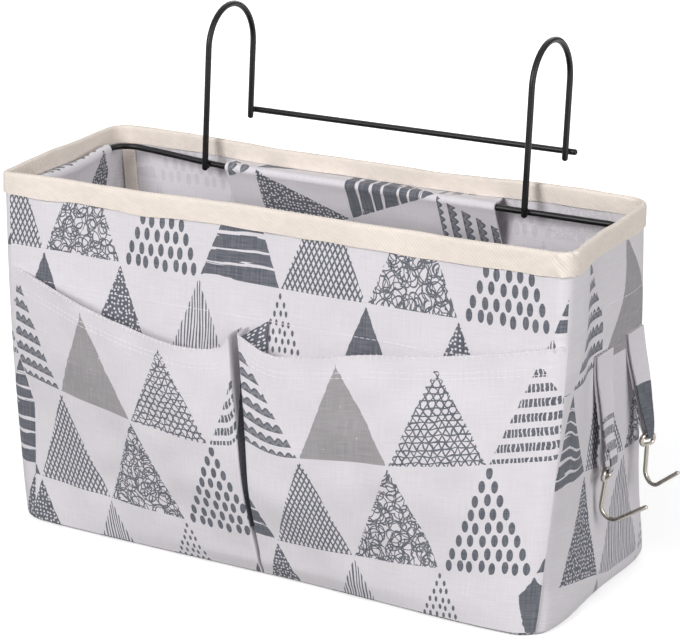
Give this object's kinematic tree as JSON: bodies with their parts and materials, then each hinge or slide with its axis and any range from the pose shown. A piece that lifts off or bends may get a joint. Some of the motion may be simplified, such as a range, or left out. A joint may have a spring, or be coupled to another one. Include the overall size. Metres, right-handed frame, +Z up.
{
  "type": "bedside caddy",
  "caption": "Open rectangular fabric bedside caddy with a front pocket strip, taped rim, wire hooks that hang on a bed rail and key hooks swinging on end straps.",
  "frame": {"origin": "middle of the base on the floor", "axes": "+X along the long side to the end with the key hooks, -Y out of the front with the pockets, +Z up"},
  "size_m": [0.4002, 0.1934, 0.3014],
  "materials": {
    "printed_cloth": "plain-woven cotton and linen with a grey triangle print",
    "twill_tape": "cream herringbone twill tape",
    "black_wire": "satin black coated steel wire",
    "nickel_wire": "bright nickel-plated wire",
    "board_plastic": "plain off-white sheet"
  },
  "bodies": {
    "caddy": {"front_panel": "printed_cloth", "back_panel": "printed_cloth", "left_end_panel": "printed_cloth", "right_end_panel": "printed_cloth", "base_panel": "printed_cloth", "front_casing": "printed_cloth", "back_casing": "printed_cloth", "left_casing": "printed_cloth", "right_casing": "printed_cloth", "pocket_strip": "printed_cloth", "rim_binding": "twill_tape", "base_seam_binding": "twill_tape", "corner_binding_front_left": "twill_tape", "corner_binding_front_right": "twill_tape", "corner_binding_rear_left": "twill_tape", "corner_binding_rear_right": "twill_tape", "rim_wire": "black_wire", "hanger_hook_left": "black_wire", "hanger_hook_right": "black_wire", "cross_bar": "black_wire", "base_board": "board_plastic"},
    "front_strap": {"front_strap": "printed_cloth"},
    "rear_strap": {"rear_strap": "printed_cloth"},
    "front_key_hook": {"front_key_hook": "nickel_wire"},
    "rear_key_hook": {"rear_key_hook": "nickel_wire"}
  },
  "joints": [
    {"name": "front_strap_lift", "type": "hinge", "parent": "caddy", "child": "front_strap", "pos_m": [0.18223, 0.003, 0.143], "axis": [0, -1, 0], "range_deg": [0, 75]},
    {"name": "rear_strap_lift", "type": "hinge", "parent": "caddy", "child": "rear_strap", "pos_m": [0.18252, 0.05001, 0.15], "axis": [0, -1, 0], "range_deg": [0, 75]},
    {"name": "front_key_swing", "type": "hinge", "parent": "front_strap", "child": "front_key_hook", "pos_m": [0.18678, 0.003, 0.073], "axis": [0, -1, 0], "range_deg": [-5, 70]},
    {"name": "rear_key_swing", "type": "hinge", "parent": "rear_strap", "child": "rear_key_hook", "pos_m": [0.19107, 0.05001, 0.08], "axis": [-0.3746, -0.9272, 0], "range_deg": [-5, 70]}
  ]
}
